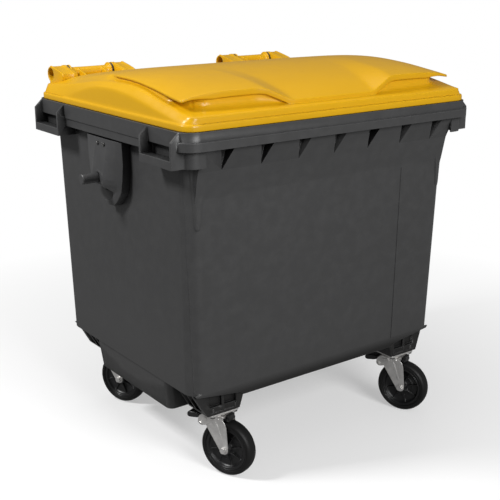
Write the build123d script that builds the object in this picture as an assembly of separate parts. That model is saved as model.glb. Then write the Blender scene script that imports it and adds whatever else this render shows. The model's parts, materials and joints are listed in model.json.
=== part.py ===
from build123d import *
import math
import os

os.makedirs("parts", exist_ok=True)

# Four-wheeled waste container with a hinged flat lid.  Millimetres, +Z up, floor at z = 0.
# +X runs to the right along the long side, +Y to the back.  The comb rim is at the
# front (-Y), the hinge at the back (+Y).
# In the code below, side is -1 on the left and 1 on the right; end is -1 at the front
# and 1 at the back.

# ---------------------------------------------------------------- dimensions
WALL = 5.0
TAPER = math.tan(math.radians(1.25))
REF_Z = 330.0             # height at which the next three sizes hold
REF_HALF_X = 558.0
REF_FRONT_Y = -438.0
REF_BACK_Y = 430.0
CORNER_R = 50.0
WALL_LOW_Z = 327.0        # lower edge of the side walls
BELLY_Z = 289.0           # lower edge of the long walls between the casters
BELLY_HALF_X = 350
KEEL_Z = 212.0            # underside of the sump

RIM_TOP_Z = 1219.0
RIM_HALF_X = 618.0
RIM_FRONT_Y = -517.0
RIM_BACK_Y = 499.0
RIM_DROP = 50.0           # height of the hanging band
BAND_FRONT_Y = -529.0     # lower front band
BAND_Z = (1162.0, 1190.0)
COMB_PITCH = 153.2
COMB_HALF_W = 53.0 / 2
COMB_TIP_Z = 1086.0

GRIP_X = 645.0            # outer face of the grip loops
GRIP_Z = 1107.0
GRIP_SPANS_Y = ((-480.0, -293.0), (273.0, 460.0))
GRIP_PLATE_T = 9

HINGE_Y, HINGE_Z = 500.0, 1299.0
HINGE_PIN_R = 8.0
HINGE_BORE_R = HINGE_PIN_R + 0.08
LUG_R = 29.0
# x spans of each hinge from left to right: arm, lug, bar, lug, arm
HINGES = {
    "left": ((-554.0, -493.5), (-491.0, -483.0), (-480.5, -311.5), (-309.0, -301.0),
             (-298.5, -246.0)),
    "right": ((216.0, 281.5), (284.0, 292.0), (294.5, 455.0), (457.5, 465.5),
              (468.0, 520.0)),
}

TRUNNION_Y, TRUNNION_Z = 8.0, 1003.0
TRUNNION_R = 17.5         # free stub
TRUNNION_CORE_R = 16      # part inside the bracket
TRUNNION_FACE_X = 637.0
TRUNNION_TIP_X = 697.0
SCREW_OFFSETS_Y = (-21, 21)
SCREW_Z = 1116
SCREW_R = 3.0

DRAIN_Y = -10

WHEEL_R = 100.0
TYRE_W = 50.0
TYRE_BORE_R = 80.02
TRAIL = 50.0              # kingpin axis to wheel axle
TRAIL_ANGLE = -67.4
CASTERS = {
    "front_left": (-423.0, -376.0), "front_right": (423.0, -376.0),
    "rear_left": (-423.0, 351.0), "rear_right": (423.0, 351.0),
}
PLATE_LOW_Z, PLATE_TOP_Z = 234.0, 240.0
BOLT_OFFSET = 46.0        # from the kingpin axis, in x and in y
KINGPIN_R = 8
AXLE_R = 6
PEDAL_PIN_X, PEDAL_PIN_Z = -22, 203
PEDAL_PIN_R = 4
RUNNING_GAP = 0.05        # radial play in most bores

LID_LOW_Z = 1219.5
LID_HALF_X = 610.0
LID_FRONT_Y, LID_BACK_Y = -511.0, 491.0
LID_T = 4.0


# ---------------------------------------------------------------- helpers
def save(shape, name):
    shape.label = name
    export_step(shape, "parts/" + name + ".step")


def largest(shape):
    """The largest solid of a boolean result."""
    return sorted(shape.solids(), key=lambda solid: solid.volume)[-1]


def fuse(shapes):
    """Join shapes one after another."""
    total = shapes[0]
    for shape in shapes[1:]:
        total = total + shape
    return total


def drop(points, depth):
    return [(y, z - depth) for y, z in points]


def half_width(z):
    return REF_HALF_X + (z - REF_Z) * TAPER


def front_y(z):
    return REF_FRONT_Y - (z - REF_Z) * TAPER


def back_y(z):
    return REF_BACK_Y + (z - REF_Z) * TAPER


def rounded_rect(z, half_x, front, back, radius):
    return Pos(0, (front + back) / 2, z) * RectangleRounded(2 * half_x, back - front, radius)


def rounded_prism(low, top, half_x, front, back, radius):
    return extrude(rounded_rect(low, half_x, front, back, radius), top - low)


def tapered(low, top, inset):
    """Block with the container's tapered walls, moved in by inset."""
    return loft([rounded_rect(z, half_width(z) - inset, front_y(z) + inset,
                              back_y(z) - inset, CORNER_R - inset) for z in (low, top)])


def box(x0, x1, y0, y1, z0, z1):
    return Pos((x0 + x1) / 2, (y0 + y1) / 2, (z0 + z1) / 2) * Box(
        abs(x1 - x0), abs(y1 - y0), abs(z1 - z0))


def prism_x(points, start, end):
    """Polygon of (y, z) points swept along x."""
    start, end = sorted((start, end))
    outline = Polyline(*[(start, y, z) for y, z in points], close=True)
    return extrude(make_face(outline), amount=end - start, dir=(1, 0, 0))


def prism_y(points, start, end):
    """Polygon of (x, z) points swept along y."""
    start, end = sorted((start, end))
    outline = Polyline(*[(x, start, z) for x, z in points], close=True)
    return extrude(make_face(outline), amount=end - start, dir=(0, 1, 0))


def flat_face(points, z):
    return make_face(Polyline(*[(x, y, z) for x, y in points], close=True))


def cyl_x(start, end, y, z, radius):
    return Pos((start + end) / 2, y, z) * Rot(0, 90, 0) * Cylinder(radius, abs(end - start))


def cyl_y(x, start, end, z, radius):
    return Pos(x, (start + end) / 2, z) * Rot(90, 0, 0) * Cylinder(radius, abs(end - start))


def cyl_z(x, y, start, end, radius):
    return Pos(x, y, (start + end) / 2) * Cylinder(radius, abs(end - start))


def hex_prism(across_flats, height):
    return extrude(RegularPolygon(across_flats / 2, 6, major_radius=False), height)


def hinge_cyl(start, end, radius):
    return cyl_x(start, end, HINGE_Y, HINGE_Z, radius)


# ---------------------------------------------------------------- container
# front wall flaring out into the comb rim: (y, z)
FLARE_OUTER = [
    (front_y(985) + 0.5, 985), (-458, 1010), (-474, COMB_TIP_Z), (-510, BAND_Z[0]),
    (-514.5, 1172), (-514.5, 1216), (-445, 1216), (-445, 985)]
FLARE_INNER = [
    (-446, 996), (-467.5, COMB_TIP_Z), (-503.5, BAND_Z[0]), (-508, 1173), (-508, 1214),
    (-430, 1214), (-430, 996)]
# corner fin, tapering downwards: (x, z)
FIN = [(560, 1112), (506, 1112), (519, 1000), (528, 908), (533, 900), (541, 900), (546, 910),
       (555, 1040)]
# lower edge strip of the long walls, running down from the corners to the belly: (x, z)
WALL_EDGE = [(-546, 332), (-540, 324), (-366, 300), (-349, BELLY_Z), (349, BELLY_Z),
             (366, 300), (540, 324), (546, 332)]
# lid lug: (y, z)
LUG = [(462, 1216), (496, 1172), (498.9, 1172), (524, 1262), (526, HINGE_Z), (474, HINGE_Z)]
# recess behind each trunnion bracket: (y from the trunnion, z)
RECESS = [(-130, 1168), (130, 1168), (130, 1118), (96, 1110), (90, 1000), (66, 940),
          (-66, 940), (-90, 1000), (-96, 1110), (-130, 1118)]


def comb_teeth(half, tip_z, shoulder_z, top_z, start, end):
    """Row of seven prisms along the front, each pointed at its lower end."""
    return fuse([
        prism_y([(x, tip_z), (x + half, shoulder_z), (x + half, top_z), (x - half, top_z),
                 (x - half, shoulder_z)], start, end)
        for x in (i * COMB_PITCH for i in range(-3, 4))])


def basic_form():
    """Tapered walls with the belly and the sump below."""
    shell = tapered(WALL_LOW_Z, RIM_TOP_Z, 0)
    belly = prism_x([(front_y(BELLY_Z), BELLY_Z), (-300, KEEL_Z), (280, KEEL_Z),
                     (back_y(BELLY_Z), BELLY_Z), (back_y(340), 340), (front_y(340), 340)],
                    -BELLY_HALF_X, BELLY_HALF_X)
    keel = loft([rounded_rect(KEEL_Z, 535, -258, 238, 24),
                 rounded_rect(WALL_LOW_Z + 1, 550, -265, 245, 24)])
    return shell + belly + keel


def rim_flange():
    low = RIM_TOP_Z - RIM_DROP
    rim = rounded_prism(low, RIM_TOP_Z, RIM_HALF_X, RIM_FRONT_Y, RIM_BACK_Y, 56)
    return rim - rounded_prism(low - 1, RIM_TOP_Z - WALL, RIM_HALF_X - WALL,
                               RIM_FRONT_Y + WALL, RIM_BACK_Y - WALL, 51)


def front_band():
    low, top = BAND_Z
    band = rounded_prism(low, top, RIM_HALF_X + 11, BAND_FRONT_Y, RIM_BACK_Y, 64)
    band = band - rounded_prism(low - 1, top + 1, RIM_HALF_X - WALL, RIM_FRONT_Y + WALL,
                                RIM_BACK_Y, 51)
    return band & box(-700, 700, -560, -478, 1100, 1250)


def corner_skirt():
    """Thin skirt round the two front corners."""
    skirt = rounded_prism(GRIP_Z, 1216, 606, -507, RIM_BACK_Y, 44)
    skirt = skirt - rounded_prism(GRIP_Z - 1, 1217, 600, -501, RIM_BACK_Y, 38)
    return skirt & (box(538, 700, -560, -478, 1100, 1216)
                    + box(-700, -538, -560, -478, 1100, 1216))


def add_grips(body):
    """Grip loops on both short sides, and the low band between them."""
    for side in (-1, 1):
        plate = [(side * 566, GRIP_Z), (side * GRIP_X, GRIP_Z), (side * GRIP_X, 1190),
                 (side * RIM_HALF_X, 1215.5), (side * 566, 1215.5)]
        for start, end in GRIP_SPANS_Y:
            inner_start, inner_end = start + GRIP_PLATE_T, end - GRIP_PLATE_T
            body = body + prism_y(plate, start, inner_start) + prism_y(plate, inner_end, end)
            bar = box(side * 612, side * GRIP_X, start, end, GRIP_Z, GRIP_Z + 27)
            bar = bar - box(side * 606, side * (GRIP_X - 6), inner_start, inner_end,
                            GRIP_Z - 1, GRIP_Z + 21)
            body = body + bar
        body = body + box(side * 607, side * 614.5, GRIP_SPANS_Y[0][1], GRIP_SPANS_Y[1][0],
                          1141, 1175)
    return body


def caster_block(side, end):
    """Ribbed corner block that a caster plate bolts up into."""
    inner_y = 316 if end < 0 else 292
    low_y, high_y = (430, 433) if end < 0 else (411, 425)
    foot = [(362, inner_y), (494, inner_y), (494, low_y), (362, low_y)]
    head = [(336, inner_y), (546, inner_y), (546, high_y - 22), (336, high_y)]
    block = loft([flat_face([(side * x, end * y) for x, y in outline], z)
                  for outline, z in ((foot, PLATE_TOP_Z), (head, 330))], ruled=True)
    # pockets between the ribs, first in the front or back face, then in the outer side
    for near, far in ((376, 426), (434, 482)):
        for depth, low, top in ((15, PLATE_TOP_Z + 28, 340),
                                (3.5, PLATE_TOP_Z + 9, PLATE_TOP_Z + 29)):
            block = block - box(side * near, side * far, end * (low_y - depth),
                                end * (low_y + 12), low, top)
    for near, far in ((8, 44), (52, 88)):
        block = block - box(side * 484, side * 560, end * (inner_y + near),
                            end * (inner_y + far), PLATE_TOP_Z + 9, 322)
    return block


def add_corner_relief(body):
    """Fins below the rim, and a shallow step beside the corners of the long walls."""
    corners = [(side, end) for side in (-1, 1) for end in (-1, 1)]
    skin = tapered(WALL_LOW_Z, RIM_TOP_Z, -5)
    for side, end in corners:
        fin = prism_y([(side * x, z) for x, z in FIN], end * 400, end * 500)
        body = body + (fin & skin)
    step_h = 1.8
    step = loft([rounded_rect(z, half_width(z), front_y(z) - step_h, back_y(z) + step_h,
                              CORNER_R) for z in (WALL_LOW_Z, 1100)])
    for side, end in corners:
        body = body + (step & box(side * 345, side * 620, end * 425, end * 500,
                                  WALL_LOW_Z, 1098))
    return body


def cavity():
    space = tapered(WALL_LOW_Z + 6, RIM_TOP_Z + 40, WALL)
    # material kept behind the trunnion brackets
    space = space - fuse([box(side * 541, side * 600, TRUNNION_Y - 145, TRUNNION_Y + 145,
                              892, 1230) for side in (-1, 1)])
    belly = [(front_y(BELLY_Z) + 5.5, BELLY_Z + 3), (-298.5, KEEL_Z + 5), (278.5, KEEL_Z + 5),
             (back_y(BELLY_Z) - 5.5, BELLY_Z + 3), (back_y(360) - 6, 360),
             (front_y(360) + 6, 360)]
    space = space + prism_x(belly, -BELLY_HALF_X + WALL, BELLY_HALF_X - WALL)
    space = space + loft([rounded_rect(KEEL_Z + 5, 530, -253, 233, 20),
                          rounded_rect(WALL_LOW_Z + 8, 545, -259.5, 239.5, 20)])
    # material kept behind the comb pockets
    bosses = comb_teeth(COMB_HALF_W + 6, COMB_TIP_Z - 14, BAND_Z[0] - 2, 1216, -513, -440)
    return space + (prism_x(FLARE_INNER, -541, 541) - bosses)


def container_body():
    lug_spans = [span for hinge in HINGES.values() for span in (hinge[1], hinge[3])]

    pockets = comb_teeth(COMB_HALF_W, COMB_TIP_Z, BAND_Z[0], 1206, -540, -462)
    flare = prism_x(FLARE_OUTER, -548, 548) - pockets
    body = basic_form() + flare + rim_flange() + front_band() + corner_skirt()
    body = add_grips(body)
    for x, y in CASTERS.values():
        body = body + caster_block(1 if x > 0 else -1, -1 if y < 0 else 1)
    for end, wall_y in ((-1, REF_FRONT_Y), (1, REF_BACK_Y)):
        body = body + prism_y(WALL_EDGE, wall_y, wall_y - end * 6)
    body = add_corner_relief(body)
    for span in lug_spans:
        body = body + (prism_x(LUG, *span) + hinge_cyl(*span, LUG_R))
    # pads inside the short walls, behind the brackets
    for side in (-1, 1):
        body = body + box(side * 540, side * 566, TRUNNION_Y - 146, TRUNNION_Y + 146,
                          890, 1180)

    body = body - cavity()
    for side in (-1, 1):
        body = body - prism_x([(y + TRUNNION_Y, z) for y, z in RECESS],
                              side * 552, side * 600)

    # drain hole with its boss
    body = body + cyl_z(0, DRAIN_Y, KEEL_Z + 1, KEEL_Z + 18, 30)
    body = body - cyl_z(0, DRAIN_Y, KEEL_Z - 1, KEEL_Z + 30, 20)

    # bores for the hinge pins and holes for the caster bolts
    for start, end in lug_spans:
        body = body - hinge_cyl(start - 1, end + 1, HINGE_BORE_R)
    for x, y in CASTERS.values():
        for offset_x in (-BOLT_OFFSET, BOLT_OFFSET):
            for offset_y in (-BOLT_OFFSET, BOLT_OFFSET):
                body = body - cyl_z(x + offset_x, y + offset_y, PLATE_TOP_Z - 1, 266, 5.05)
    return largest(body)


save(container_body(), "container_body")

# ---------------------------------------------------------------- lid
# upper outlines from back to front: (y, z)
LID_TOP = [
    (LID_BACK_Y, 1268), (472, 1287), (400, 1300), (302, 1316), (155, 1337), (82, 1345),
    (40, 1347), (-10, 1335), (-62, 1327), (-159, 1316), (-251, 1296), (-338, 1272),
    (-411, 1254), (-470, 1248), (LID_FRONT_Y, 1241)]
PANEL_TOP = [
    (302, 1316), (155, 1340), (29, 1355), (-91, 1362), (-227, 1358), (-300, 1350),
    (-362, 1340), (-412, 1328), (-446, 1313)]
# dip in the middle of the raised panel: (y, z)
DIP = [(10, 1420), (10, 1362), (-180, 1337), (-330, 1308), (-440, 1286), (-520, 1284),
       (-520, 1420)]
# front lip, outside and inside: (y, z)
LIP_OUTER = [(-300, 1313), (-440, 1286), (-478, 1279), (-478, 1263), (-440, 1250),
             (-300, 1250)]
LIP_INNER = [(-300, 1309), (-440, 1282), (-474, 1275.5), (-474, 1266), (-440, 1240),
             (-300, 1240)]
# arms and ribs that carry the barrels and bars: (y, z)
ARM = [(HINGE_Y - 6, HINGE_Z + 27), (404, 1304), (404, 1298), (HINGE_Y - 22, 1262),
       (HINGE_Y - 2, 1272)]
BAR_RIB = [(HINGE_Y - 4, HINGE_Z + 18), (430, 1299), (430, 1290), (HINGE_Y - 14, 1268),
           (HINGE_Y, 1280)]
BAR_RIB_T = 7


def lid_volume(inset, bottom):
    """The lid's outer form, moved in by inset all round, closed at the height bottom."""
    back, front = LID_BACK_Y - inset, LID_FRONT_Y + inset
    half_x = LID_HALF_X - inset
    top = [(min(max(y, front), back), z) for y, z in drop(LID_TOP, inset)]
    volume = prism_x(top + [(front, bottom), (back, bottom)], -half_x, half_x)
    # bevel along both short sides
    for side in (-1, 1):
        upper_x = side * (578 - inset)
        volume = volume - prism_y(
            [(upper_x, 1345 - inset), (side * (603 - inset), 1300 - inset),
             (side * (607 - inset), 1262), (side * 640, 1262), (side * 640, 1400),
             (upper_x, 1400)], -600, 600)
    volume = volume & rounded_prism(bottom, 1400, half_x, front, back, 48 - inset)
    # raised panel, and its wings that widen towards the front
    panel = drop(PANEL_TOP, inset) + [(-446 + inset, 1296 - inset), (-400, 1250), (302, 1250)]
    narrow, wide = 556 - inset, 585 - inset
    wing_front = -436 + inset
    wing = extrude(flat_face([(-narrow, 40), (-wide, wing_front), (wide, wing_front),
                              (narrow, 40)], 1240), 160)
    narrow_panel = prism_x(panel, -narrow, narrow)
    wide_panel = prism_x(panel, -wide, wide) & wing
    return volume + narrow_panel + wide_panel


def valley(depth):
    """Space above the dip, lowered and widened by depth."""
    trough = prism_x(drop(DIP, depth), -(270 + depth), 270 + depth)
    return trough & loft([Pos(0, -255, 1270) * Rectangle(300 + 2 * depth, 530),
                          Pos(0, -255, 1400) * Rectangle(760 + 2 * depth, 530)])


def lid_shell():
    outer = lid_volume(0, LID_LOW_Z) - valley(0)
    inner = lid_volume(LID_T, LID_LOW_Z - 20) - valley(LID_T)
    lip = prism_x(LIP_OUTER, -215, 215)
    lip_space = prism_x(LIP_INNER, -215 + LID_T, 215 - LID_T)
    return largest((outer + lip) - (inner + lip_space))


def lid():
    """Lid shell with the hinge arms, barrels and bars."""
    shape = lid_shell()
    for left_arm, _, bar, _, right_arm in HINGES.values():
        for span in (left_arm, right_arm):
            shape = shape + prism_x(ARM, *span) + hinge_cyl(*span, 28)
        shape = shape + hinge_cyl(*bar, 21)
        for rib_x in (bar[0] + 32.0, bar[1] - 39.0):
            shape = shape + prism_x(BAR_RIB, rib_x, rib_x + BAR_RIB_T)
    for left_arm, left_lug, _, right_lug, right_arm in HINGES.values():
        left, right = left_arm[0], right_arm[1]
        # clearance round the container's lugs
        for start, end in (left_lug, right_lug):
            shape = shape - box(start - 2.5, end + 2.5, 452, 540, 1200, 1340)
        # pin bore and the open mouths at both ends
        shape = shape - hinge_cyl(left - 5, right + 5, HINGE_BORE_R)
        shape = shape - hinge_cyl(left - 3, left + 26, 22.5)
        shape = shape - hinge_cyl(right - 12, right + 3, 15)
    return largest(shape)


def hinge_pin(hinge):
    """Pin with a flange at each end, seated in the barrels' mouths."""
    left, right = hinge[0][0] + 20.0, hinge[4][1] - 6.0
    flange_t, flange_r = 5.9, 13
    pin = hinge_cyl(left, right, HINGE_PIN_R)
    pin = pin + hinge_cyl(left, left + flange_t, flange_r)
    pin = pin + hinge_cyl(right - flange_t, right, flange_r)
    return largest(pin)


save(lid(), "lid")
for hinge_name, hinge_spans in HINGES.items():
    save(hinge_pin(hinge_spans), "hinge_pin_" + hinge_name)

# ---------------------------------------------------------------- lifting trunnions
# bracket sections from top to bottom: z, half width and x of the outer edge,
# half width and x of the housing's foot, x and half width of the housing's face
BRACKET_LEVELS = [
    (1134.0, 119.0, 605.0, 88.0, 611.0, 613.0, 37.0),
    (1060.0, 120.0, 603.0, 88.0, 613.0, 627.0, 37.0),
    (1004.0, 112.0, 603.0, 86.0, 613.0, TRUNNION_FACE_X, 37.0),
    (984.0, 107.0, 603.0, 84.0, 611.0, TRUNNION_FACE_X - 1.5, 37.0),
    (966.0, 101.0, 602.0, 78.0, 607.0, 626.0, 35.0),
    (956.0, 96.0, 602.0, 72.0, 605.0, 607.0, 34.0),
    (924.0, 66.0, 601.0, 50.0, 603.0, 604.0, 24.0),
    (906.0, 42.0, 600.0, 30.0, 601.0, 602.0, 14.0),
]
# opening under the pin, running out at the back: (y from the trunnion, z)
BRACKET_ARCH = [(-46, 968), (-52, 950), (-42, 932), (-14, 922), (8, 920), (10, 890),
                (140, 890), (140, 982), (30, 980), (-20, 976)]


def bracket_section(level, side, inset, wall_x):
    z, edge_half, edge_x, foot_half, foot_x, face_x, face_half = level
    edge_half, edge_x = edge_half - inset, edge_x - inset
    foot_half, foot_x = foot_half - inset * .5, foot_x - inset
    face_half, face_x = face_half - inset * .3, face_x - inset
    points = [(wall_x, -edge_half), (edge_x, -edge_half), (foot_x, -foot_half),
              (face_x, -face_half), (face_x, face_half), (foot_x, foot_half),
              (edge_x, edge_half), (wall_x, edge_half)]
    return flat_face([(side * x, TRUNNION_Y + y) for x, y in points], z)


def bracket_form(side, inset, wall_x):
    return fuse([loft([bracket_section(upper, side, inset, wall_x),
                       bracket_section(lower, side, inset, wall_x)], ruled=True)
                 for upper, lower in zip(BRACKET_LEVELS, BRACKET_LEVELS[1:])])


def trunnion_bracket(side):
    hollow = bracket_form(side, 5.0, 540.0) & box(side * 500, side * 700, -200, 200, 911, 1129)
    bracket = bracket_form(side, 0.0, 560.0) - hollow
    arch = prism_x(BRACKET_ARCH, side * 540, side * 660)
    bracket = bracket - (Pos(0, TRUNNION_Y, 0) * arch)
    # sleeve round the pin, with a rib to the front and one to the back
    sleeve_start, sleeve_end = side * 556, side * (TRUNNION_FACE_X - 3)
    bracket = bracket + cyl_x(sleeve_start, sleeve_end, TRUNNION_Y, TRUNNION_Z, 24)
    for end in (-1, 1):
        near, far = TRUNNION_Y + end * 20, TRUNNION_Y + end * 100
        rib = prism_x([(near, 999), (far, 999), (far, 1006), (near, 1006)],
                      sleeve_start, sleeve_end)
        bracket = bracket + (rib & box(side * 500, side * 606, -200, 200, 900, 1100))
    # the foot stands on the tapered wall, with the middle let into its recess
    middle = box(side * 553, side * 700, TRUNNION_Y - 65, TRUNNION_Y + 65, 941.5, 1167)
    bracket = bracket - (tapered(WALL_LOW_Z, RIM_TOP_Z, -0.05) - middle)
    bracket = bracket - cyl_x(side * 540, side * 660, TRUNNION_Y, TRUNNION_Z,
                              TRUNNION_CORE_R + RUNNING_GAP)
    for offset in SCREW_OFFSETS_Y:
        bracket = bracket - cyl_x(side * 560, side * 640, TRUNNION_Y + offset, SCREW_Z,
                                  SCREW_R + RUNNING_GAP)
    return largest(bracket)


def trunnion_pin(side):
    face_x = side * TRUNNION_FACE_X
    core = cyl_x(side * 558.0, face_x, TRUNNION_Y, TRUNNION_Z, TRUNNION_CORE_R)
    stub = cyl_x(face_x, side * TRUNNION_TIP_X, TRUNNION_Y, TRUNNION_Z, TRUNNION_R)
    circles = stub.edges().filter_by(GeomType.CIRCLE).sort_by(Axis.X)
    stub = chamfer(circles[-1 if side > 0 else 0], 2.0)
    return largest(core + stub)


def trunnion_screw(side, offset):
    y = TRUNNION_Y + offset
    shank = cyl_x(side * 590, side * 618, y, SCREW_Z, SCREW_R)
    return largest(shank + cyl_x(side * 618, side * 622, y, SCREW_Z, 5.5))


for side_sign, side_name in ((-1, "left"), (1, "right")):
    save(trunnion_bracket(side_sign), "trunnion_bracket_" + side_name)
    save(trunnion_pin(side_sign), "trunnion_pin_" + side_name)
save(Compound(children=[trunnion_screw(side, offset) for side in (-1, 1)
                        for offset in SCREW_OFFSETS_Y]), "trunnion_screws")


# ---------------------------------------------------------------- drain
def drain_plug():
    plug = cyl_z(0, DRAIN_Y, 203.0, 209.9, 28) + cyl_z(0, DRAIN_Y, 209.0, 226.0, 19.8)
    return largest(plug + box(-20, 20, DRAIN_Y - 4, DRAIN_Y + 4, 197.0, 204.0))


def drain_seal():
    return largest(cyl_z(0, DRAIN_Y, 210.0, 211.9, 27) - cyl_z(0, DRAIN_Y, 209.0, 213.0, 20.5))


save(drain_plug(), "drain_plug")
save(drain_seal(), "drain_seal")

# ---------------------------------------------------------------- casters
# Each caster is built with its kingpin on the z axis and its wheel trailing towards +X.
BOLT_CORNERS = [(x * BOLT_OFFSET, y * BOLT_OFFSET)
                for x, y in ((1, 1), (-1, 1), (1, -1), (-1, -1))]
CROWN_LOW_Z, CROWN_TOP_Z = 213, 219
# fork leg: (x, z)
FORK_LEG = [(-36, CROWN_TOP_Z), (46, CROWN_TOP_Z), (65, 104), (63, 96), (37, 96), (33, 104)]
# wheel rim section: (radius, y)
WHEEL_RIM = [
    (10.06, -27.5), (20, -27.5), (22, -24), (22, -9), (34, -7), (60, -8), (66, -14),
    (70, -21), (80, -21), (80, 21), (70, 21), (66, 14), (60, 8), (34, 7), (22, 9),
    (22, 24), (20, 27.5), (10.06, 27.5)]
# half of the tyre section: (radius, distance in from the side)
TYRE_HALF = [(TYRE_BORE_R, 2), (83, 0), (88, 0), (94, 3), (98, 9), (WHEEL_R, 18)]
# brake pedal: (x, z)
PEDAL = [(-14, 208.5), (-14, 197), (-44, 197), (-60, 192), (-94, 190), (-98, 194),
         (-97, 200), (-62, 204), (-44, 208.5)]


def axle_cyl(start, end, radius):
    return cyl_y(TRAIL, start, end, WHEEL_R, radius)


def axle_hex(start, end):
    return Pos(TRAIL, end, WHEEL_R) * Rot(90, 0, 0) * hex_prism(19, end - start)


def pedal_cyl(start, end, radius):
    return cyl_y(PEDAL_PIN_X, start, end, PEDAL_PIN_Z, radius)


def revolve_wheel(points):
    """Revolve (radius, y) points about the axle line."""
    outline = Polyline(*[(TRAIL + radius, y, WHEEL_R) for radius, y in points], close=True)
    return largest(revolve(make_face(outline), Axis((TRAIL, 0, WHEEL_R), (0, 1, 0)), 360))


def caster_plate():
    plate = extrude(Pos(0, 0, PLATE_LOW_Z) * RectangleRounded(116, 112, 9),
                    PLATE_TOP_Z - PLATE_LOW_Z)
    plate = plate + cyl_z(0, 0, 226, PLATE_LOW_Z + 1, 37)
    plate = plate - cyl_z(0, 0, 220, 250, KINGPIN_R + RUNNING_GAP)
    plate = plate - cyl_z(0, 0, 236.9, 250, 13.2)
    for x, y in BOLT_CORNERS:
        plate = plate - cyl_z(x, y, 230, 245, 5.5)
    return largest(plate)


def fork():
    shape = extrude(Pos(4, 0, CROWN_LOW_Z) * RectangleRounded(84, 66, 20),
                    CROWN_TOP_Z - CROWN_LOW_Z)
    shape = shape + cyl_z(0, 0, CROWN_LOW_Z, CROWN_TOP_Z, 36)
    for side in (-1, 1):
        inner, outer = side * 29.0, side * 33.0
        leg = prism_y(FORK_LEG, inner, outer) + axle_cyl(inner, outer, 15.5)
        shape = shape + (leg & box(-40, 70, -40, 40, 80, CROWN_TOP_Z))
        # raised boss round the axle
        shape = shape + axle_cyl(side * 32.5, side * 35.0, 13)
    shape = shape - cyl_z(0, 0, 200, 230, KINGPIN_R + RUNNING_GAP)
    shape = shape - axle_cyl(-50, 50, AXLE_R + RUNNING_GAP)
    return largest(shape - pedal_cyl(-50, 50, PEDAL_PIN_R + RUNNING_GAP))


def kingpin():
    return largest(cyl_z(0, 0, 208, 237.5, KINGPIN_R) + cyl_z(0, 0, 237.0, 239.8, 13)
                   + cyl_z(0, 0, 204, 212.8, 14))


def swivel_bearing():
    return largest(cyl_z(0, 0, 219.2, 225.8, 33) - cyl_z(0, 0, 218, 227, 21))


def axle():
    return largest(axle_cyl(-42, 47, AXLE_R) + axle_hex(-42.5, -35.1))


def axle_nut():
    return largest(axle_hex(35.1, 44.5) - axle_cyl(30, 50, AXLE_R + 0.02))


def axle_bush():
    return largest(axle_cyl(-28.8, 28.8, 10) - axle_cyl(-40, 40, AXLE_R + RUNNING_GAP))


def wheel_rim():
    return revolve_wheel(WHEEL_RIM)


def tyre():
    half = TYRE_W / 2
    return revolve_wheel([(radius, inset - half) for radius, inset in TYRE_HALF]
                         + [(radius, half - inset) for radius, inset in reversed(TYRE_HALF)])


def brake_pedal():
    pedal = prism_y(PEDAL, -19, 19)
    pedal = pedal - box(-34, -10, -14, 14, 190, 210)
    return largest(pedal - pedal_cyl(-50, 50, PEDAL_PIN_R + RUNNING_GAP))


def pedal_pin():
    return largest(pedal_cyl(-35.5, 35.5, PEDAL_PIN_R) + pedal_cyl(-37.5, -33.1, 6.5)
                   + pedal_cyl(33.1, 37.5, 6.5))


def brake_shoe():
    return largest(box(34, 64, -21, 21, 204, 212.4) + box(52, 64, -17, 17, 204, 225.5))


def caster_bolt(x, y):
    return largest(cyl_z(x, y, 230, 262, 5) + Pos(x, y, 227.6) * hex_prism(16, 233.9 - 227.6))


FIXED_PARTS = (caster_plate, kingpin, swivel_bearing)
TURNED_PARTS = (fork, axle, axle_nut, axle_bush, wheel_rim, tyre)
BRAKE_PARTS = (brake_pedal, pedal_pin, brake_shoe)    # front casters only

bolts = []
for caster_name, (caster_x, caster_y) in CASTERS.items():
    fixed = Pos(caster_x, caster_y, 0)
    turned = fixed * Rot(0, 0, TRAIL_ANGLE)
    for build in FIXED_PARTS:
        save(fixed * build(), build.__name__ + "_" + caster_name)
    braked = caster_name.startswith("front")
    for build in TURNED_PARTS + (BRAKE_PARTS if braked else ()):
        save(turned * build(), build.__name__ + "_" + caster_name)
    for bolt_x, bolt_y in BOLT_CORNERS:
        bolts.append(fixed * caster_bolt(bolt_x, bolt_y))
save(Compound(children=bolts), "caster_bolts")
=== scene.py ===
"""A wheeled container with a domed yellow lid, side trunnion brackets and four swivel casters.

X runs across the width, -Y is the front of the lid, +Y the side of its hinge line, +Z is up and
the floor is at z = 0. Shapes are laid out in millimetres and scaled to metres as meshes are made;
materials, lights and the camera are in metres.
"""
import bpy, bmesh, json, math
import numpy as np
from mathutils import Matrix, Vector


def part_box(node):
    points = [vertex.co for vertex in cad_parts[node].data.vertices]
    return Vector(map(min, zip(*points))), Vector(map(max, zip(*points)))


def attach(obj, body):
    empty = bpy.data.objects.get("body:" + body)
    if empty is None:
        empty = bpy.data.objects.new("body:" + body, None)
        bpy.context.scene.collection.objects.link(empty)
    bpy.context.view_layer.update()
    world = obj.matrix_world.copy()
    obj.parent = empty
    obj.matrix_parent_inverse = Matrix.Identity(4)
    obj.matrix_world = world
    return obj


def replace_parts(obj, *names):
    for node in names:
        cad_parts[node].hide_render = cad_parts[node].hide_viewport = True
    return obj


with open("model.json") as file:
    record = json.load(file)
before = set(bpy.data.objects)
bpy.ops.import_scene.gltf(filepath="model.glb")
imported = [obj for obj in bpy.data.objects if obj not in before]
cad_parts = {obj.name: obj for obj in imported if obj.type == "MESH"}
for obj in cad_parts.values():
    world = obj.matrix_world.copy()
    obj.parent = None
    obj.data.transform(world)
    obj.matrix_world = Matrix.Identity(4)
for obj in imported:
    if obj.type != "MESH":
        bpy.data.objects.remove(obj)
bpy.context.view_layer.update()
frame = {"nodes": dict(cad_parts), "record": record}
NODES = frame["nodes"]
SCENE = bpy.context.scene
MM = 0.001


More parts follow.
